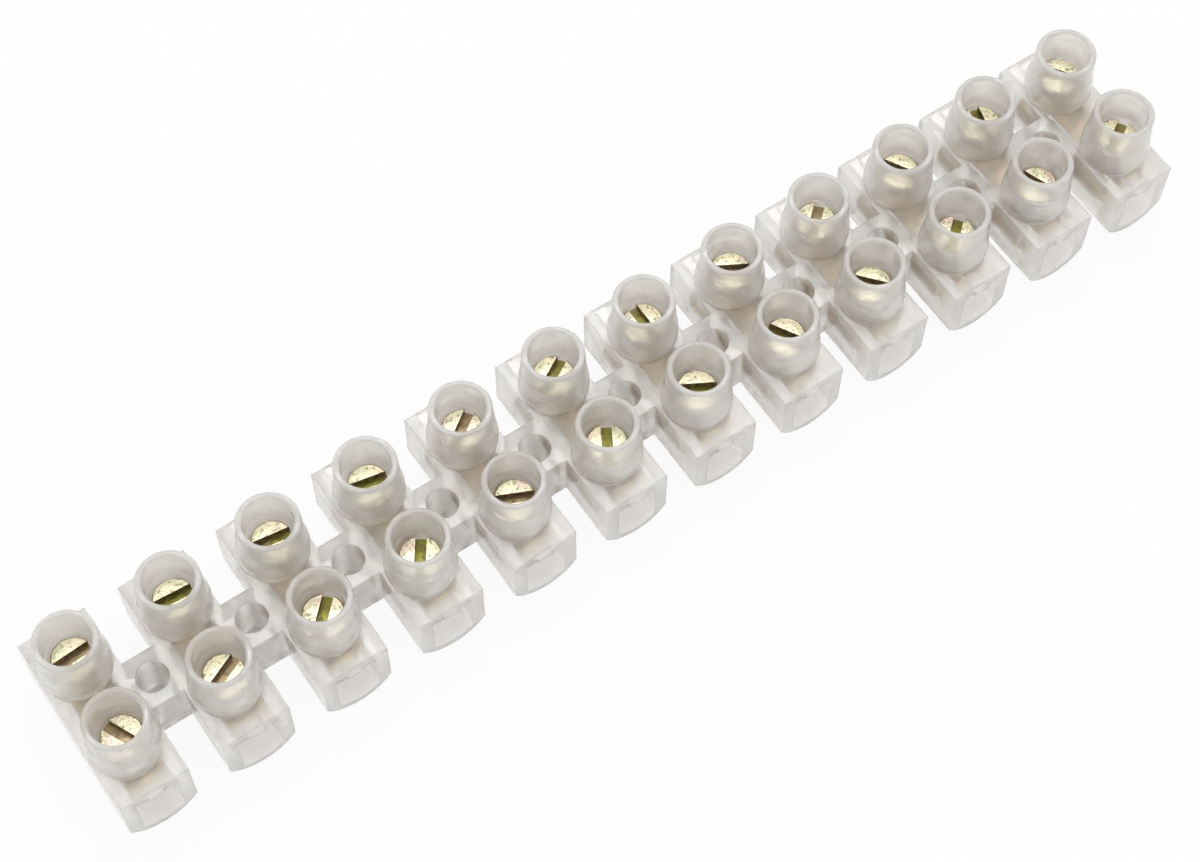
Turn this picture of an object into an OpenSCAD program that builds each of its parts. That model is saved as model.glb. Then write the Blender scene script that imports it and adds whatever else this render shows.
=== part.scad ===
// Pillar terminal strip: one soft moulding that carries a row of metal tube inserts,
// each with two clamping screws reached down round towers.
// X runs along the strip, Y across it, Z up. The origin is under the middle of the strip,
// level with the lowest line of the rounded bellies.

/* [Strip] */
// Number of ways, each with one insert and two screws
ways = 12; // [2:1:12]
// Distance from one way to the next
pitch = 12; // [11:0.1:16]

/* [Blocks] */
// Width of one block along the strip
block_w = 8; // [7.8:0.1:10]
// Length of one block across the strip, from wire entry to wire entry
block_d = 22; // [20:0.1:30]
// Height of the straight sides
side_h = 6.6; // [6.4:0.1:10]
// Drop of the rounded belly below the straight sides
belly_drop = 2.2; // [1.6:0.1:3]

/* [Towers] */
// Distance between the front and the rear tower axis
tower_spacing = 10.4; // [9.6:0.1:12]
// Height of the towers above the blocks
tower_h = 7.4; // [6.8:0.1:12]
// Outside diameter of the collar at the rim
rim_d = 7; // [6.7:0.1:7.3]
// Inside diameter of the collar, wide enough for the blade of a driver
mouth_d = 5.6; // [5.2:0.1:6]
// Length of the straight mouth, from the rim down to the shoulder over the head
mouth_h = 3.6; // [3:0.1:4.2]
// Bevel round the inner and the outer edge of the rim
rim_edge = 0.15; // [0.05:0.05:0.25]
// Height of the narrow collar, from the rim down to the bulb
collar_h = 2.6; // [2:0.1:4]
// Outside diameter of the collar where it meets the bulb, a little wider than the rim
waist_d = 7.3; // [7:0.1:7.8]
// Largest diameter of the bulb round the lower part of the tower
bulb_d = 8; // [7.5:0.1:9]
// Height of the bulb's widest line above the block
bulb_z = 1.6; // [1:0.1:2]
// Diameter of the foot ring on which the bulb sits
foot_d = 7.4; // [6.8:0.1:8]
// Height of the foot ring
foot_h = 0.4; // [0.2:0.1:0.8]

/* [Webs] */
// Length of the webs between blocks, measured across the strip
web_d = 6.2; // [5:0.1:9]
// Height of the webs, from the top of the blocks down
web_h = 6.6; // [3:0.1:6.6]
// Diameter of the fixing hole through each web
fixing_hole_d = 3.6; // [2.5:0.1:3.8]

/* [Wire entries] */
// Width of the wire entry in each end face
entry_w = 4.8; // [4.2:0.1:5.2]
// Thickness of the roof over the entry
entry_roof = 1.1; // [0.8:0.1:1.4]
// Width of the lug that hangs from the roof between the two notches
lug_w = 2; // [1:0.1:2.4]
// Drop of the lug below the roof
lug_drop = 0.8; // [0.3:0.1:0.9]
// Thickness of the belly under the deep mouth of an entry
entry_floor = 0.8; // [0.6:0.1:2]
// Lip left between the deep mouth and the end of the insert
entry_lip = 0.85; // [0.4:0.05:1.5]

/* [Inserts] */
// Outside diameter of the tube insert
insert_d = 5.8; // [5.4:0.1:6]
// Length of the tube insert
insert_len = 15; // [14:0.1:17]
// Diameter of the hole that takes the wires
wire_hole_d = 3.9; // [3.6:0.1:4.2]
// Gap all round between an insert and its cavity
insert_gap = 0.05; // [0.02:0.01:0.1]
// Bevel at both ends of the wire hole
wire_hole_bevel = 0.3; // [0.1:0.05:0.4]

/* [Screws] */
// Diameter of the screw shank over its thread
screw_d = 3.4; // [2.9:0.1:3.4]
// Radial gap between the shank and its tapped hole
screw_gap = 0.05; // [0.02:0.01:0.1]
// Diameter of the screw head
head_d = 4.6; // [4:0.1:4.8]
// Thickness of the screw head
head_h = 1.4; // [1.2:0.1:2]
// Radial gap between the head and its well
head_gap = 0.25; // [0.15:0.05:0.3]
// Height of the head's top above the block while the screw is backed out
head_rise = 3.1; // [3:0.1:3.7]
// Width of the screwdriver slot
slot_w = 1.2; // [0.8:0.1:1.4]
// Depth of the screwdriver slot
slot_depth = 0.9; // [0.6:0.1:1]
// Bevel round the top of the head and round the screw's tip
screw_bevel = 0.3; // [0.2:0.05:0.4]
// Height of the screw's tip above the wire hole while it is backed out
tip_clear = 0.05; // [0.02:0.01:0.2]

/* [Hidden] */
$fn = 64;
// A hair by which one shape runs into the next, so that no two faces are shared
eps = 0.01;
block_h = side_h + belly_drop;
belly_r = (pow(block_w / 2, 2) + pow(belly_drop, 2)) / (2 * belly_drop);
// The insert and the belly share one axis
insert_z = belly_r;
cavity_d = insert_d + 2 * insert_gap;
rim_z = block_h + tower_h;
collar_z = rim_z - collar_h;
shoulder_z = rim_z - mouth_h;
well_d = head_d + 2 * head_gap;
head_z = block_h + head_rise;
tip_z = insert_z + wire_hole_d / 2 + tip_clear;
// How far the deep mouth runs in from the end face, so that the lip still holds the insert
mouth_depth = (block_d - insert_len) / 2 - insert_gap - entry_lip;
// How far the webs run into the blocks' side walls
web_root = (block_w - cavity_d) / 4;
// The angle at which each screw came to a stop, counted from the strip's length
front_slots = [115, 25, 45, 55, 155, 60, 150, 120, 130, 40, 110, 30];
rear_slots = [5, 175, 170, 165, 35, 30, 90, 150, 40, 120, 75, 125];

function two_digits(n) = n < 10 ? str("0", n) : str(n);
function node_name(kind, way) = str(kind, "_", two_digits(way));
function way_x(way) = (way - (ways + 1) / 2) * pitch;

// A copy of the children at the front and at the rear tower of a way
module both_towers() {
    for (side = [-1, 1])
        translate([0, side * tower_spacing / 2, 0]) children();
}

// Turns a profile drawn in X and Z so that it runs across the strip, centred
module across(length) {
    rotate([90, 0, 0])
        translate([0, 0, -length / 2])
            linear_extrude(length) children();
}

// End view of a block: straight sides over a belly that is an arc
module block_section() {
    translate([-block_w / 2, belly_drop]) square([block_w, side_h]);
    intersection() {
        translate([0, belly_r]) circle(belly_r);
        translate([-block_w / 2, 0]) square([block_w, belly_drop + eps]);
    }
}

// Half outline of a tower: a foot ring under a round bulb, a soft shoulder, a collar that narrows to the rim
module tower_outline() {
    foot_r = foot_d / 2;
    bulb_r = bulb_d / 2;
    waist_r = waist_d / 2;
    rim_r = rim_d / 2;
    belly = bulb_z - foot_h;
    rise = collar_z - block_h - bulb_z;
    tuck = bulb_r - foot_r;
    step = bulb_r - waist_r;
    polygon(concat(
        [[0, block_h - eps], [foot_r, block_h - eps]],
        [for (a = [0:15:90]) [foot_r + tuck * sin(a), block_h + foot_h + belly * (1 - cos(a))]],
        [for (t = [0.1:0.1:1]) [bulb_r - step * (1 - cos(180 * t)) / 2, block_h + bulb_z + rise * t]],
        [[rim_r, rim_z - rim_edge], [rim_r - rim_edge, rim_z], [0, rim_z]]
    ));
}

// Well down a tower: a straight mouth for the driver, a shoulder, then a bore for the head down to the insert
module well() {
    translate([0, 0, rim_z - rim_edge])
        cylinder(d1 = mouth_d, d2 = mouth_d + 2 * rim_edge + 2 * eps, h = rim_edge + eps);
    translate([0, 0, shoulder_z]) cylinder(d = mouth_d, h = mouth_h - rim_edge + eps);
    translate([0, 0, head_z]) cylinder(d1 = well_d, d2 = mouth_d, h = shoulder_z - head_z + eps);
    translate([0, 0, insert_z]) cylinder(d = well_d, h = head_z - insert_z + eps);
}

// Wire entry, seen from the end: round below, upright sides, a flat roof with a lug hanging from it
module entry_section() {
    roof_z = block_h - entry_roof;
    difference() {
        union() {
            translate([0, insert_z]) circle(d = entry_w);
            translate([-entry_w / 2, insert_z]) square([entry_w, roof_z - insert_z]);
        }
        translate([-lug_w / 2, roof_z - lug_drop]) square([lug_w, lug_drop + eps]);
    }
}

// Deep mouth of an entry: as wide as the entry, down to an arc that follows the belly
module mouth_section() {
    intersection() {
        translate([0, insert_z]) circle(belly_r - entry_floor);
        translate([-entry_w / 2, 0]) square([entry_w, insert_z + eps]);
    }
}

module block() {
    difference() {
        union() {
            across(block_d) block_section();
            both_towers() rotate_extrude() tower_outline();
        }
        both_towers() well();
        across(insert_len + 2 * insert_gap) translate([0, insert_z]) circle(d = cavity_d);
        across(block_d + 2) entry_section();
        for (side = [-1, 1])
            translate([0, side * (block_d - mouth_depth + 1) / 2, 0]) across(mouth_depth + 1) mouth_section();
    }
}

// Web between two blocks, with its fixing hole
module web() {
    span = pitch - block_w + 2 * web_root;
    difference() {
        translate([-span / 2, -web_d / 2, block_h - web_h]) cube([span, web_d, web_h]);
        translate([0, 0, block_h - web_h - 1]) cylinder(d = fixing_hole_d, h = web_h + 2);
    }
}

module housing() {
    color([0.87, 0.86, 0.84, 0.7]) union() {
        for (way = [1:ways]) translate([way_x(way), 0, 0]) block();
        for (way = [1:ways - 1]) translate([way_x(way) + pitch / 2, 0, 0]) web();
    }
}

// Tube insert with a wire hole right through and a tapped hole under each tower
module insert() {
    color([0.78, 0.66, 0.36]) difference() {
        across(insert_len) translate([0, insert_z]) circle(d = insert_d);
        across(insert_len + 2) translate([0, insert_z]) circle(d = wire_hole_d);
        for (side = [-1, 1])
            translate([0, side * insert_len / 2, insert_z])
                rotate([side * 90, 0, 0])
                    translate([0, 0, -eps])
                        cylinder(d1 = wire_hole_d + 2 * wire_hole_bevel, d2 = wire_hole_d, h = wire_hole_bevel);
        both_towers() translate([0, 0, insert_z]) cylinder(d = screw_d + 2 * screw_gap, h = insert_d);
    }
}

// Slotted screw, drawn upright on its own axis
module screw(slot_angle) {
    head_r = head_d / 2;
    shank_r = screw_d / 2;
    color([0.84, 0.78, 0.55]) difference() {
        rotate_extrude() polygon([
            [0, tip_z],
            [shank_r - screw_bevel, tip_z],
            [shank_r, tip_z + screw_bevel],
            [shank_r, head_z - head_h],
            [head_r, head_z - head_h],
            [head_r, head_z - screw_bevel],
            [head_r - screw_bevel, head_z],
            [0, head_z]
        ]);
        rotate([0, 0, slot_angle])
            translate([-head_d, -slot_w / 2, head_z - slot_depth])
                cube([2 * head_d, slot_w, slot_depth + 1]);
    }
}

housing();
for (way = [1:ways]) translate([way_x(way), 0, 0]) {
    insert();
    translate([0, -tower_spacing / 2, 0]) screw(front_slots[way - 1]);
    translate([0, tower_spacing / 2, 0]) screw(rear_slots[way - 1]);
}
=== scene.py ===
"""Pillar terminal strip: finishes for its housing and inserts, threaded screws and a plain studio."""
import math

import bmesh
import bpy
from bpy.props import FloatProperty, FloatVectorProperty, IntProperty, PointerProperty
from mathutils import Matrix, Vector


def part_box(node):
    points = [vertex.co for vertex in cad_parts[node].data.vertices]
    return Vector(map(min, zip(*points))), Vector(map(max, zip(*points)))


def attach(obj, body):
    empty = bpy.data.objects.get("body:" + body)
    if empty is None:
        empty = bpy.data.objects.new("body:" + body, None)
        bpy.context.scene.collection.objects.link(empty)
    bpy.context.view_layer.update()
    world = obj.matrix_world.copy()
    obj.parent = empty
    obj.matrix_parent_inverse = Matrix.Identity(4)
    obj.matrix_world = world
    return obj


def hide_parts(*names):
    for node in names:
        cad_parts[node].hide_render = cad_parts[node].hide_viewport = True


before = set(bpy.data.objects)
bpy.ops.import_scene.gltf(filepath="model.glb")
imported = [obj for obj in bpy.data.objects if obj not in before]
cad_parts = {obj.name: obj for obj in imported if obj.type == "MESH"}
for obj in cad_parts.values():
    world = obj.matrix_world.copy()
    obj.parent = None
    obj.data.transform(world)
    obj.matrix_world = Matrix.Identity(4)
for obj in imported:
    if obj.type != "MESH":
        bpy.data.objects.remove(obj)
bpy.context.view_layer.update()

bl_info = {
    "name": "Pillar terminal strip",
    "version": (1, 0, 0),
    "blender": (4, 5, 0),
    "location": "3D View > Sidebar > Strip",
    "description": "Finishes a translucent terminal strip and fits it with threaded screws",
    "category": "Object",
}

SCREW_NODES = sorted(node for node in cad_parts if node.startswith("screw_"))
INSERT_NODES = sorted(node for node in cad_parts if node.startswith("insert_"))

# Points closer than this are one point, and heights closer than this are one height
SAME_POINT = 1e-6
SAME_LEVEL = 1e-5

# Refractive index of the plastic
PLASTIC_IOR = 1.5
# The colours of dust in the plastic, of stains on the zinc, and of old oil that also paints shade
DUST = (0.12, 0.1, 0.08)
STAIN = (0.24, 0.2, 0.1)
GRIME_AND_SHADE = (0.12, 0.085, 0.04)

# The order of a screw's finishes; the second is oil with painted shade in the slot and round the head
BARE, OIL_AND_SHADE, SLOT_FLOOR = range(3)
# Sides of the head and of the neck
HEAD_SIDES = 72
NECK_SIDES = 40
# Edges of the slot turn by more than this, and get its small radius
SLOT_EDGE_TURN = math.radians(50)
# Faces of a screw that meet at less than this are shaded as one
SMOOTH_TURN = math.radians(35)
# One turn of the thread as root, flank, crest and flank: steps out in thread depths, and up in pitches
THREAD_STEPS = ((0, 0.12), (1, 0.36), (0, 0.16), (-1, 0.36))

# Side of the floor, how far it lies below the strip, and over how much of it a shade ends
FLOOR_SIDE = 6
FLOOR_DROP = 0.0001
SHADE_FADE = 0.0008


# ---------------------------------------------------------------- shader maths

class Value:
    """One output socket of a node tree. Arithmetic on it adds Math nodes."""

    def __init__(self, finish, socket):
        self.finish = finish
        self.socket = socket

    def math(self, operation, *inputs):
        """A Math node on these values and numbers."""
        return self.finish.add("ShaderNodeMath", {"operation": operation}, dict(enumerate(inputs)))

    def __add__(self, other):
        return self.math("ADD", self, other)

    def __radd__(self, other):
        return self.math("ADD", other, self)

    def __sub__(self, other):
        return self.math("SUBTRACT", self, other)

    def __rsub__(self, other):
        return self.math("SUBTRACT", other, self)

    def __mul__(self, other):
        return self.math("MULTIPLY", self, other)

    def __rmul__(self, other):
        return self.math("MULTIPLY", other, self)

    def __lt__(self, other):
        return self.math("LESS_THAN", self, other)

    def __gt__(self, other):
        return self.math("GREATER_THAN", self, other)

    def __abs__(self):
        return self.math("ABSOLUTE", self)

    def most(self, other):
        """The greater of this value and another."""
        return self.math("MAXIMUM", self, other)

    def smooth(self, low, high):
        """0 below low and 1 above high, with a smooth step between them."""
        return self.finish.add(
            "ShaderNodeMapRange",
            {"interpolation_type": "SMOOTHSTEP"},
            {"Value": self, "From Min": low, "From Max": high, "To Min": 0.0, "To Max": 1.0},
        )


class Finish:
    """The node tree of a new material, or of a world. Any node comes from add()."""

    def __init__(self, name, world=None):
        self.owner = world or bpy.data.materials.new(name)
        self.owner.use_nodes = True
        self.tree = self.owner.node_tree
        self.tree.nodes.clear()

    def add(self, kind, settings=None, sockets=None, output=0):
        """Adds a node, sets its settings, then fills its sockets with values or links."""
        node = self.tree.nodes.new(kind)
        for key, value in (settings or {}).items():
            setattr(node, key, value)
        for key, value in (sockets or {}).items():
            if isinstance(value, Value):
                self.tree.links.new(value.socket, node.inputs[key])
            else:
                node.inputs[key].default_value = value
        return Value(self, node.outputs[output])

    def mix(self, amount, first, second):
        """A colour between two colours."""
        first, second = ((*c, 1.0) if isinstance(c, tuple) else c for c in (first, second))
        return self.add("ShaderNodeMix", {"data_type": "RGBA"}, {0: amount, 6: first, 7: second}, output=2)

    def place(self):
        """The point in the strip's own frame, in metres."""
        return self.add("ShaderNodeTexCoord", output="Object")

    def noise(self, place, grain, detail=2.0, roughness=0.5):
        """Noise from 0 to 1 whose features are about grain metres across."""
        return self.add(
            "ShaderNodeTexNoise", None,
            {"Vector": place, "Scale": 1.0 / grain, "Detail": detail, "Roughness": roughness},
        )

    def stretch(self, place, scale):
        """The place scaled along each axis, so that a pattern runs longer one way."""
        return self.add("ShaderNodeVectorMath", {"operation": "MULTIPLY"}, {0: place, 1: scale})

    def bump(self, height, distance, normal=None):
        """A normal that follows height, where 1 stands distance metres proud."""
        sockets = {"Distance": distance, "Height": height}
        if normal is not None:
            sockets["Normal"] = normal
        return self.add("ShaderNodeBump", None, sockets)

    def surface(self, shader, output="ShaderNodeOutputMaterial"):
        """Ends the tree with this shader and returns the material or world."""
        self.tree.links.new(shader.socket, self.tree.nodes.new(output).inputs["Surface"])
        return self.owner


# ---------------------------------------------------------------- settings

class PlasticSettings(bpy.types.PropertyGroup):
    """The look of the moulded housing."""
    colour: FloatVectorProperty(
        name="Colour", description="Colour of the natural plastic", subtype="COLOR",
        size=3, min=0.0, max=1.0, default=(0.93, 0.89, 0.84))
    shade: FloatVectorProperty(
        name="Shade", description="Colour of the faint clouds in the plastic", subtype="COLOR",
        size=3, min=0.0, max=1.0, default=(0.84, 0.795, 0.74))
    clearness: FloatProperty(
        name="Clearness", description="Share of the light that goes in through the skin with only a blur",
        subtype="FACTOR", min=0.0, max=0.9, default=0.55)
    sheen: FloatProperty(
        name="Roughness", description="Roughness of the moulded skin", subtype="FACTOR",
        min=0.03, max=0.9, default=0.12)
    haze: FloatProperty(
        name="Haze", description="Roughness that light meets on its way out of the plastic",
        subtype="FACTOR", min=0.0, max=0.9, default=0.3)
    depth: FloatProperty(
        name="Scatter depth", description="How far light spreads inside the plastic", unit="LENGTH",
        min=0.0001, max=0.01, default=0.0035)
    edge: FloatProperty(
        name="Edge radius", description="Radius of the moulded edges as the light sees them", unit="LENGTH",
        min=0.0, max=0.0005, default=0.00026)


class BrassSettings(bpy.types.PropertyGroup):
    """The look of the tube inserts."""
    colour: FloatVectorProperty(
        name="Colour", description="Colour of the bare brass", subtype="COLOR",
        size=3, min=0.0, max=1.0, default=(0.78, 0.6, 0.3))
    tarnish: FloatVectorProperty(
        name="Tarnish", description="Colour of the duller patches", subtype="COLOR",
        size=3, min=0.0, max=1.0, default=(0.55, 0.42, 0.22))


class ScrewSettings(bpy.types.PropertyGroup):
    """Sizes and colours of the clamping screws."""
    head_height: FloatProperty(
        name="Head height", description="Height of the screw head", unit="LENGTH", default=0.0014)
    head_edge: FloatProperty(
        name="Head edge", description="Radius round the top of the head", unit="LENGTH", default=0.0002)
    slot_width: FloatProperty(
        name="Slot width", description="Width of the screwdriver slot", unit="LENGTH", default=0.0012)
    slot_depth: FloatProperty(
        name="Slot depth", description="Depth of the screwdriver slot", unit="LENGTH", default=0.0009)
    slot_edge: FloatProperty(
        name="Slot edge", description="Radius along the edges of the slot", unit="LENGTH", default=0.00006)
    thread_diameter: FloatProperty(
        name="Thread diameter", description="Diameter over the thread", unit="LENGTH", default=0.0034)
    thread_pitch: FloatProperty(
        name="Thread pitch", description="Rise of the thread in one turn", unit="LENGTH", default=0.0006)
    thread_depth: FloatProperty(
        name="Thread depth", description="Depth of the thread", unit="LENGTH", default=0.00032)
    neck: FloatProperty(
        name="Neck", description="Plain length between the head and the thread", unit="LENGTH",
        default=0.0004)
    thread_steps: IntProperty(
        name="Thread steps", description="Faces round one turn of the thread", min=12, max=96, default=40)
    gold: FloatVectorProperty(
        name="Gold", description="Colour of the yellow passivated zinc", subtype="COLOR",
        size=3, min=0.0, max=1.0, default=(0.76, 0.71, 0.5))
    green: FloatVectorProperty(
        name="Green", description="Colour of its greenish patches", subtype="COLOR",
        size=3, min=0.0, max=1.0, default=(0.55, 0.58, 0.4))
    pink: FloatVectorProperty(
        name="Pink", description="Colour of its pinkish patches", subtype="COLOR",
        size=3, min=0.0, max=1.0, default=(0.72, 0.58, 0.5))
    # The slot floors are darker than the gold as painted shade of the deep slot, besides the zinc's own
    # tint
    olive: FloatVectorProperty(
        name="Olive", description="Colour of the slot floors where the passivation is thick",
        subtype="COLOR", size=3, min=0.0, max=1.0, default=(0.24, 0.24, 0.05))
    tan: FloatVectorProperty(
        name="Tan", description="Colour of the slot floors where it is thin", subtype="COLOR",
        size=3, min=0.0, max=1.0, default=(0.36, 0.28, 0.16))
    # Also painted shade: this dark colour stands for the shade in the slot and the shadow in the gap round
    # the head
    oil_and_shade: FloatVectorProperty(
        name="Oil", description="Colour of the oily slot walls and the rim of the head", subtype="COLOR",
        size=3, min=0.0, max=1.0, default=(0.3, 0.2, 0.11))


class StudioSettings(bpy.types.PropertyGroup):
    """Camera, lamps and floor."""
    heading: FloatProperty(
        name="Heading", description="Direction the camera looks in, clockwise from the strip's +Y",
        subtype="ANGLE", default=math.radians(35.148))
    dip: FloatProperty(
        name="Dip", description="How far the camera looks down", subtype="ANGLE",
        default=math.radians(61.518))
    roll: FloatProperty(
        name="Roll", description="Turn of the camera about its own view line", subtype="ANGLE",
        default=math.radians(0.763))
    distance: FloatProperty(
        name="Distance", description="From the camera to the point it looks at", unit="LENGTH",
        default=0.27659)
    target: FloatVectorProperty(
        name="Target", description="The point the camera looks at", subtype="TRANSLATION",
        size=3, default=(-0.0049, -0.002246, 0.0088))
    lens: FloatProperty(
        name="Lens", description="Focal length in millimetres on a 36 mm wide sensor", default=75.443)
    key_power: FloatProperty(
        name="Key lamp", description="Power of the large lamp above, in watts", min=0.0, default=1.0)
    gloss_power: FloatProperty(
        name="Gloss lamp", description="Power of the lamp that the level faces mirror, in watts",
        min=0.0, default=0.7)
    fill_power: FloatProperty(
        name="Fill lamp", description="Power of the lamp at the side, in watts", min=0.0, default=0.5)
    sky: FloatProperty(
        name="Sky", description="Strength of the even light from all round", min=0.0, default=0.68)
    floor_show: FloatProperty(
        name="Floor shadow", description="Share of the floor's own shading that is seen",
        subtype="FACTOR", min=0.0, max=1.0, default=0.09)
    shade_reach: FloatProperty(
        name="Shade reach", description="Half the width of the floor that keeps its whole shade",
        unit="LENGTH", min=0.0, default=0.0026)
    shade_shift: FloatProperty(
        name="Shade shift", description="How far that shade lies behind the middle of the webs",
        unit="LENGTH", default=0.0013)


SETTINGS = {
    "strip_plastic": PlasticSettings,
    "strip_brass": BrassSettings,
    "strip_screws": ScrewSettings,
    "strip_studio": StudioSettings,
}


# ---------------------------------------------------------------- finishes

def plastic_finish(s):
    """Natural plastic: a milky, wavy skin over a clear inside, with flow clouds and specks of dust."""
    f = Finish("natural_plastic")
    place = f.place()
    clouds = f.noise(place, 0.0035, detail=3.0).smooth(0.35, 0.75)
    flow = f.noise(f.stretch(place, (1.0, 0.45, 1.0)), 0.0012, detail=4.0, roughness=0.6)
    specks = f.add("ShaderNodeTexVoronoi", {"feature": "F1"}, {"Vector": place, "Scale": 560.0})
    dust = specks < f.noise(place, 0.0045).smooth(0.56, 0.72) * 0.055
    colour = f.mix(clouds * 0.45 + flow * 0.45, tuple(s.colour), tuple(s.shade))
    colour = f.mix(dust, colour, DUST)
    rounded = f.add("ShaderNodeBevel", {"samples": 4}, {"Radius": s.edge})
    sink = f.bump(f.noise(place, 0.0026, detail=1.0), 0.0002, normal=rounded)
    ripple = f.bump(f.noise(f.stretch(place, (1.0, 1.0, 3.0)), 0.0008, detail=3.0), 0.00004, normal=sink)
    skin = f.bump(flow, 0.00003, normal=ripple)
    outside = f.add("ShaderNodeBsdfPrincipled", {"subsurface_method": "RANDOM_WALK"}, {
        "Base Color": colour,
        "Roughness": flow * 0.1 + (s.sheen - 0.05),
        "IOR": PLASTIC_IOR,
        "Transmission Weight": s.clearness,
        "Subsurface Weight": 1.0,
        "Subsurface Radius": (1.0, 0.93, 0.86),
        "Subsurface Scale": s.depth,
        "Normal": skin,
    })
    inside = f.add("ShaderNodeBsdfPrincipled", None, {
        "Base Color": (1, 1, 1, 1),
        "Roughness": s.haze,
        "IOR": PLASTIC_IOR,
        "Transmission Weight": 1.0,
        "Normal": skin,
    })
    back = f.add("ShaderNodeNewGeometry", output="Backfacing")
    return f.surface(f.add("ShaderNodeMixShader", None, {0: back, 1: outside, 2: inside}))


def brass_finish(s):
    """Drawn brass tube: fine turned lines round it, duller in patches."""
    f = Finish("drawn_brass")
    place = f.place()
    patches = f.noise(place, 0.0022, detail=3.0).smooth(0.38, 0.7)
    lines = f.noise(f.stretch(place, (1.0, 14.0, 1.0)), 0.0016, detail=2.0)
    shader = f.add("ShaderNodeBsdfPrincipled", None, {
        "Base Color": f.mix(patches, tuple(s.colour), tuple(s.tarnish)),
        "Metallic": 1.0,
        "Roughness": patches * 0.15 + lines * 0.12 + 0.22,
        "Normal": f.bump(lines, 0.00002),
    })
    return f.surface(shader)


def zinc_finish(s):
    """Yellow passivated zinc: pale gold that drifts to green and pink, with small dents and scratches."""
    f = Finish("yellow_zinc")
    place = f.place()
    green = f.noise(place, 0.0016, detail=3.0).smooth(0.45, 0.68)
    pink = f.noise(f.stretch(place, (1.0, 1.0, 1.7)), 0.0011, detail=2.0).smooth(0.52, 0.72)
    dents = f.noise(place, 0.0004, detail=4.0, roughness=0.65)
    scratches = f.noise(f.stretch(place, (7.0, 1.0, 1.0)), 0.0011, detail=3.0)
    stain = dents.smooth(0.52, 0.68)
    colour = f.mix(pink, f.mix(green, tuple(s.gold), tuple(s.green)), tuple(s.pink))
    colour = f.mix(stain * 0.8, colour, STAIN)
    shader = f.add("ShaderNodeBsdfPrincipled", None, {
        "Base Color": colour,
        "Metallic": 1.0,
        "Roughness": stain * 0.2 + 0.24,
        "Normal": f.bump(scratches, 0.00002, normal=f.bump(dents, 0.00007)),
    })
    return f.surface(shader)


def oil_and_painted_shade_finish(s):
    """The slot's walls and the rim of the head, dark with oil and swarf and with painted shade of the slot
    and the gap round the head.
    """
    f = Finish("oily_edge_and_painted_shade")
    place = f.place()
    grime = f.noise(place, 0.0005, detail=3.0).smooth(0.4, 0.65)
    shader = f.add("ShaderNodeBsdfPrincipled", None, {
        "Base Color": f.mix(grime, tuple(s.oil_and_shade), GRIME_AND_SHADE),
        "Metallic": 0.5,
        "Roughness": grime * 0.2 + 0.4,
        "Normal": f.bump(grime, 0.00003),
    })
    return f.surface(shader)


def floor_finish(s):
    """The slot's floor: olive in some screws and tan in others, with swarf marks along it, all darker than
    the head as painted shade of the deep slot.
    """
    f = Finish("slot_floor")
    place = f.place()
    thin = f.noise(place, 0.009, detail=0.0).smooth(0.42, 0.58)
    marks = f.noise(place, 0.0004, detail=3.0).smooth(0.48, 0.7)
    colour = f.mix(thin, tuple(s.olive), tuple(s.tan))
    shader = f.add("ShaderNodeBsdfPrincipled", None, {
        "Base Color": f.mix(marks * 0.7, colour, tuple(s.oil_and_shade)),
        "Metallic": 1.0,
        "Roughness": marks * 0.2 + 0.32,
        "Normal": f.bump(marks, 0.00003),
    })
    return f.surface(shader)


def finish_node(node, material):
    """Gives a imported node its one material."""
    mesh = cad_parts[node].data
    mesh.materials.clear()
    mesh.materials.append(material)


# ---------------------------------------------------------------- modelling

def only(obj):
    """Selects one object and nothing else, in object mode."""
    if bpy.context.object and bpy.context.object.mode != "OBJECT":
        bpy.ops.object.mode_set(mode="OBJECT")
    bpy.ops.object.select_all(action="DESELECT")
    obj.select_set(True)
    bpy.context.view_layer.objects.active = obj


def apply_modifier(obj, kind, **settings):
    """Adds a modifier with these settings and applies it."""
    only(obj)
    modifier = obj.modifiers.new(kind.lower(), kind)
    for key, value in settings.items():
        setattr(modifier, key, value)
    bpy.ops.object.modifier_apply(modifier=modifier.name)


def set_in_place(obj):
    """Moves an object's place into its mesh."""
    only(obj)
    bpy.ops.object.transform_apply(location=True, rotation=True, scale=True)


def model_head(s, radius, top):
    """A slotted cheese head on the origin's axis, with its slot along X."""
    bpy.ops.object.select_all(action="DESELECT")
    bpy.ops.mesh.primitive_cylinder_add(
        vertices=HEAD_SIDES, radius=radius, depth=s.head_height,
        location=(0, 0, top - s.head_height / 2))
    head = bpy.context.object
    set_in_place(head)
    bpy.ops.object.mode_set(mode="EDIT")
    bpy.ops.mesh.select_all(action="DESELECT")
    bpy.ops.mesh.select_mode(type="EDGE")
    shape = bmesh.from_edit_mesh(head.data)
    for edge in shape.edges:
        edge.select = all(vertex.co.z > top - SAME_POINT for vertex in edge.verts)
    bmesh.update_edit_mesh(head.data)
    bpy.ops.mesh.bevel(offset=s.head_edge, segments=4, affect="EDGES")
    bpy.ops.object.mode_set(mode="OBJECT")
    bpy.ops.object.select_all(action="DESELECT")
    bpy.ops.mesh.primitive_cube_add(size=1, location=(0, 0, top))
    cutter = bpy.context.object
    cutter.scale = (4 * radius, s.slot_width, 2 * s.slot_depth)
    set_in_place(cutter)
    apply_modifier(head, "BOOLEAN", operation="DIFFERENCE", object=cutter, solver="EXACT")
    bpy.data.objects.remove(cutter, do_unlink=True)
    apply_modifier(
        head, "BEVEL", width=s.slot_edge, segments=2, limit_method="ANGLE", angle_limit=SLOT_EDGE_TURN)
    return head


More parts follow.
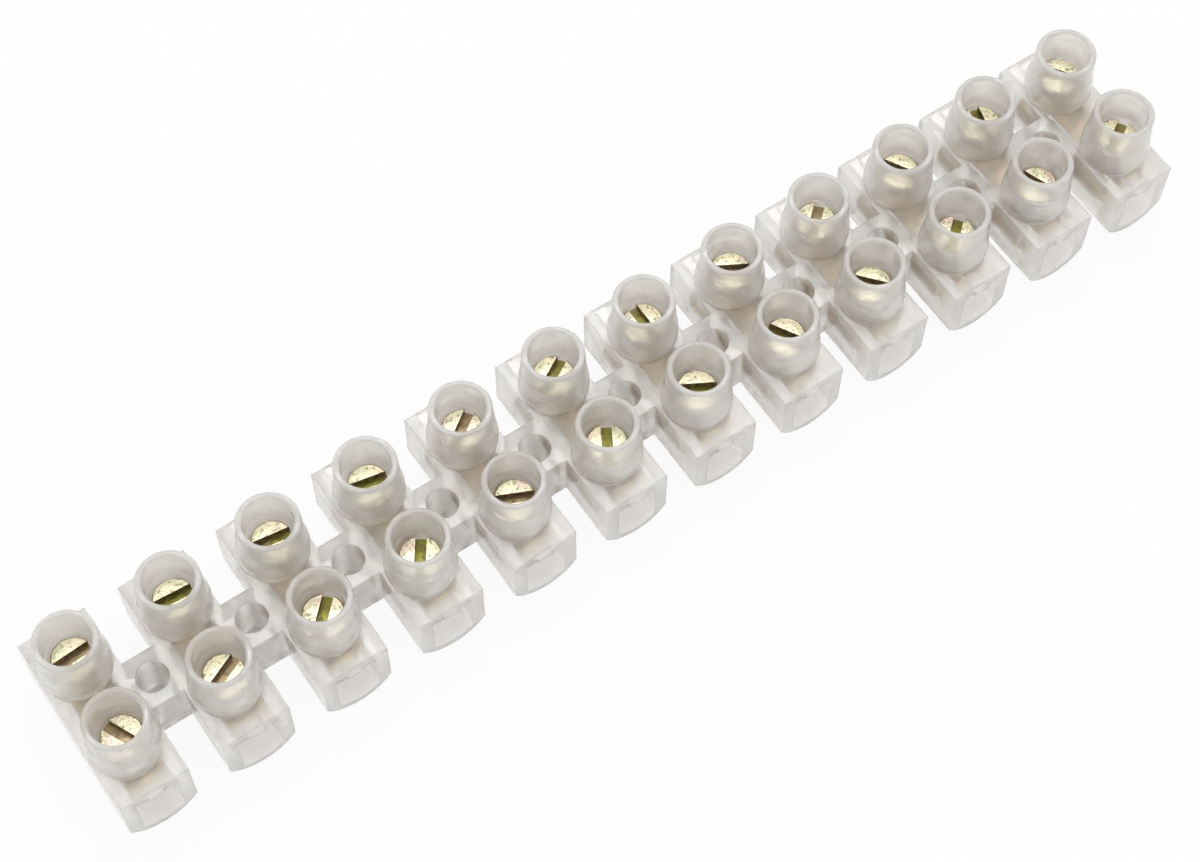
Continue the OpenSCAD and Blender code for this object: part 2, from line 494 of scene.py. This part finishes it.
def model_thread(s, top, tip):
    """A threaded shank from the tip up to the neck, closed at both ends."""
    crest = s.thread_diameter / 2
    root = crest - s.thread_depth
    pitch = s.thread_pitch
    turns = math.ceil((top - tip) / pitch) + 3
    bpy.ops.object.select_all(action="DESELECT")
    bpy.ops.mesh.primitive_plane_add(size=s.thread_depth, location=(root, 0, tip - 1.5 * pitch))
    thread = bpy.context.object
    set_in_place(thread)
    bpy.ops.object.mode_set(mode="EDIT")
    bpy.ops.mesh.select_all(action="SELECT")
    bpy.ops.mesh.merge(type="CENTER")
    for out, up in THREAD_STEPS:
        bpy.ops.mesh.extrude_region_move(
            TRANSFORM_OT_translate={"value": (out * s.thread_depth, 0, up * pitch)})
    bpy.ops.object.mode_set(mode="OBJECT")
    apply_modifier(
        thread, "SCREW", axis="Z", angle=2 * math.pi, screw_offset=pitch,
        iterations=turns, steps=s.thread_steps, render_steps=s.thread_steps)
    only(thread)
    bpy.ops.object.mode_set(mode="EDIT")
    bpy.ops.mesh.select_all(action="SELECT")
    bpy.ops.mesh.remove_doubles(threshold=SAME_POINT)
    for level, below in ((tip, True), (top - s.neck, False)):
        bpy.ops.mesh.select_all(action="SELECT")
        bpy.ops.mesh.bisect(
            plane_co=(0, 0, level), plane_no=(0, 0, 1), use_fill=True,
            clear_inner=below, clear_outer=not below)
    bpy.ops.mesh.select_all(action="SELECT")
    bpy.ops.mesh.normals_make_consistent(inside=False)
    bpy.ops.object.mode_set(mode="OBJECT")
    bpy.ops.object.select_all(action="DESELECT")
    bpy.ops.mesh.primitive_cylinder_add(
        vertices=NECK_SIDES, radius=root, depth=s.neck + pitch,
        location=(0, 0, top - s.neck / 2 - pitch / 2))
    neck = bpy.context.object
    set_in_place(neck)
    return thread, neck


def model_screw(s, radius, top, tip):
    """One whole screw on the origin's axis, its slot along X, with a finish on each of its faces."""
    head = model_head(s, radius, top)
    thread, neck = model_thread(s, top - s.head_height, tip)
    only(head)
    thread.select_set(True)
    neck.select_set(True)
    bpy.ops.object.join()
    screw = bpy.context.object
    only(screw)
    bpy.ops.object.shade_smooth_by_angle(angle=SMOOTH_TURN)
    screw.data.materials.clear()
    for finish in (zinc_finish, oil_and_painted_shade_finish, floor_finish):
        screw.data.materials.append(finish(s))
    floor = top - s.slot_depth
    reach = s.slot_width / 2 + s.slot_edge * 0.5
    for face in screw.data.polygons:
        x, y, z = face.center
        # Slot walls and floor: their dark finishes are partly painted shade of the narrow slot, besides oil
        in_slot = floor - SAME_POINT < z < top - s.slot_edge and abs(y) < reach
        on_floor = in_slot and z < floor + SAME_LEVEL
        # Head rim and side: dark as a painted shadow of the gap round the head, besides oil
        on_rim = z > top - s.head_height and face.normal.z < 0.9 and math.hypot(x, y) > radius - s.head_edge
        face.material_index = SLOT_FLOOR if on_floor else OIL_AND_SHADE if in_slot or on_rim else BARE
    return screw


def slot_angle(node):
    """The way the slot of a packed screw runs, from its floor."""
    low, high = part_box(node)
    s = bpy.context.scene.strip_screws
    level = high.z - s.slot_depth
    centre = (low + high) / 2
    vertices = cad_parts[node].data.vertices
    points = [v.co - centre for v in vertices if abs(v.co.z - level) < SAME_LEVEL]
    if len(points) < 4:
        raise RuntimeError(f"{node} has no slot floor at {level}")
    xx = sum(p.x * p.x for p in points)
    yy = sum(p.y * p.y for p in points)
    xy = sum(p.x * p.y for p in points)
    return 0.5 * math.atan2(2 * xy, xx - yy)


# ---------------------------------------------------------------- operators

class STRIP_OT_housing(bpy.types.Operator):
    """Give the moulded housing its natural plastic"""
    bl_idname = "strip.housing"
    bl_label = "Housing"

    def execute(self, context):
        finish_node("housing", plastic_finish(context.scene.strip_plastic))
        return {"FINISHED"}


class STRIP_OT_inserts(bpy.types.Operator):
    """Give the tube inserts their drawn brass"""
    bl_idname = "strip.inserts"
    bl_label = "Inserts"

    def execute(self, context):
        brass = brass_finish(context.scene.strip_brass)
        for node in INSERT_NODES:
            finish_node(node, brass)
        return {"FINISHED"}


class STRIP_OT_screws(bpy.types.Operator):
    """Model one threaded screw and fit a copy of it in every tower"""
    bl_idname = "strip.screws"
    bl_label = "Screws"

    def execute(self, context):
        low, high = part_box(SCREW_NODES[0])
        pattern = model_screw(context.scene.strip_screws, (high.x - low.x) / 2, high.z, low.z)
        for node in SCREW_NODES:
            low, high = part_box(node)
            centre = (low + high) / 2
            mesh = pattern.data.copy()
            turn = Matrix.Rotation(slot_angle(node), 4, "Z")
            mesh.transform(Matrix.Translation((centre.x, centre.y, 0)) @ turn)
            screw = bpy.data.objects.new("threaded_" + node, mesh)
            context.collection.objects.link(screw)
            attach(screw, node)
            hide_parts(node)
        bpy.data.objects.remove(pattern, do_unlink=True)
        return {"FINISHED"}


class STRIP_OT_studio(bpy.types.Operator):
    """Set up the floor, the even sky, three soft lamps and the camera"""
    bl_idname = "strip.studio"
    bl_label = "Studio"

    def execute(self, context):
        s = context.scene.strip_studio
        self.lay_floor(s)
        self.light_sky(context.scene, s)
        self.hang_lamp("key_lamp", (0.05, 0.16, 0.65), 0.5, s.key_power, (1.0, 0.985, 0.96))
        self.hang_lamp("gloss_lamp", (0.25, 0.27, 0.62), 0.34, s.gloss_power, (1.0, 0.99, 0.97))
        self.hang_lamp("fill_lamp", (-0.12, -0.5, 0.4), 0.45, s.fill_power, (0.97, 0.985, 1.0))
        self.place_camera(context.scene, s)
        context.scene.view_settings.view_transform = "Standard"
        cycles = context.scene.cycles
        cycles.max_bounces, cycles.diffuse_bounces = 20, 8
        cycles.glossy_bounces, cycles.transmission_bounces = 8, 16
        return {"FINISHED"}

    def lay_floor(self, s):
        """A pale sheet under the strip, seen as white with a faint shadow."""
        bpy.ops.object.select_all(action="DESELECT")
        bpy.ops.mesh.primitive_plane_add(size=FLOOR_SIDE, location=(0, 0, -FLOOR_DROP))
        floor = bpy.context.object
        floor.name = "floor"
        set_in_place(floor)
        f = Finish("pale_floor")
        ends = (INSERT_NODES[0], INSERT_NODES[-1])
        first, last = (sum(corner.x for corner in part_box(node)) / 2 for node in ends)
        past_ends = self.past(f, (1, 0, 0), (first + last) / 2, (last - first) / 2)
        past_webs = self.past(f, (0, 1, 0), s.shade_shift, s.shade_reach)
        plain = self.seen_plainly(f) * past_ends.most(past_webs) * (1 - s.floor_show)
        paper = f.add("ShaderNodeBsdfDiffuse", None, {"Color": (0.9, 0.9, 0.9, 1)})
        white = f.add("ShaderNodeEmission", None, {"Color": (1, 1, 1, 1), "Strength": 1.0})
        mixed = f.add("ShaderNodeMixShader", None, {0: plain, 1: paper, 2: white})
        floor.data.materials.append(f.surface(mixed))

    def seen_plainly(self, f):
        """1 for the rays that see the floor and the sky as plain white, and 0 for the others."""
        camera = f.add("ShaderNodeLightPath", output="Is Camera Ray")
        glossy = f.add("ShaderNodeLightPath", output="Is Glossy Ray")
        through = f.add("ShaderNodeLightPath", output="Is Transmission Ray")
        return camera.most(glossy).most(through)

    def past(self, f, axis, centre, reach):
        """0 on the floor within this reach of a centre along an axis, and 1 past it."""
        along = f.add(
            "ShaderNodeVectorMath", {"operation": "DOT_PRODUCT"}, {0: f.place(), 1: axis}, output="Value")
        return abs(along - centre).smooth(reach - SHADE_FADE, reach)

    def light_sky(self, scene, s):
        """An even sky that lights the strip, plain white where it is seen."""
        world = bpy.data.worlds.new("sky")
        f = Finish("sky", world)
        strength = self.seen_plainly(f) * (1 - s.sky) + s.sky
        light = f.add("ShaderNodeBackground", None, {"Color": (1, 1, 1, 1), "Strength": strength})
        scene.world = f.surface(light, "ShaderNodeOutputWorld")

    def hang_lamp(self, name, place, size, power, colour):
        """A soft square lamp that faces the strip."""
        lamp = bpy.data.lights.new(name, "AREA")
        lamp.energy, lamp.size, lamp.color = power, size, colour
        stand = bpy.data.objects.new(name, lamp)
        stand.location = place
        stand.rotation_euler = (-Vector(place)).to_track_quat("-Z", "Y").to_euler()
        bpy.context.collection.objects.link(stand)

    def place_camera(self, scene, s):
        """The camera, down on the strip from its front left."""
        ahead = Vector((
            math.cos(s.dip) * math.sin(s.heading), math.cos(s.dip) * math.cos(s.heading), -math.sin(s.dip)))
        across = Vector((math.cos(s.heading), -math.sin(s.heading), 0))
        above = across.cross(ahead)
        right = across * math.cos(s.roll) + above * math.sin(s.roll)
        up = above * math.cos(s.roll) - across * math.sin(s.roll)
        camera = bpy.data.objects.new("camera", bpy.data.cameras.new("camera"))
        camera.matrix_world = Matrix.Translation(Vector(s.target) - ahead * s.distance) @ Matrix(
            (right, up, -ahead)).transposed().to_4x4()
        camera.data.lens = s.lens
        camera.data.sensor_width = 36
        camera.data.sensor_fit = "HORIZONTAL"
        camera.data.clip_start = 0.001
        scene.collection.objects.link(camera)
        scene.camera = camera


OPERATORS = (STRIP_OT_housing, STRIP_OT_inserts, STRIP_OT_screws, STRIP_OT_studio)


class STRIP_PT_panel(bpy.types.Panel):
    """The strip's pieces and their settings"""
    bl_idname = "STRIP_PT_panel"
    bl_label = "Terminal strip"
    bl_space_type = "VIEW_3D"
    bl_region_type = "UI"
    bl_category = "Strip"

    def draw(self, context):
        layout = self.layout
        for operator, setting in zip(OPERATORS, SETTINGS):
            box = layout.box()
            box.operator(operator.bl_idname)
            group = getattr(context.scene, setting)
            for name in group.bl_rna.properties.keys():
                if name not in ("rna_type", "name"):
                    box.prop(group, name)


# ---------------------------------------------------------------- running

CLASSES = (*SETTINGS.values(), *OPERATORS, STRIP_PT_panel)


def register():
    for cls in CLASSES:
        bpy.utils.register_class(cls)
    for name, cls in SETTINGS.items():
        setattr(bpy.types.Scene, name, PointerProperty(type=cls))


def unregister():
    for name in SETTINGS:
        delattr(bpy.types.Scene, name)
    for cls in reversed(CLASSES):
        bpy.utils.unregister_class(cls)


def main():
    register()
    bpy.ops.strip.housing()
    bpy.ops.strip.inserts()
    bpy.ops.strip.screws()
    bpy.ops.strip.studio()
    bpy.context.view_layer.update()


if __name__ == "__main__":
    main()
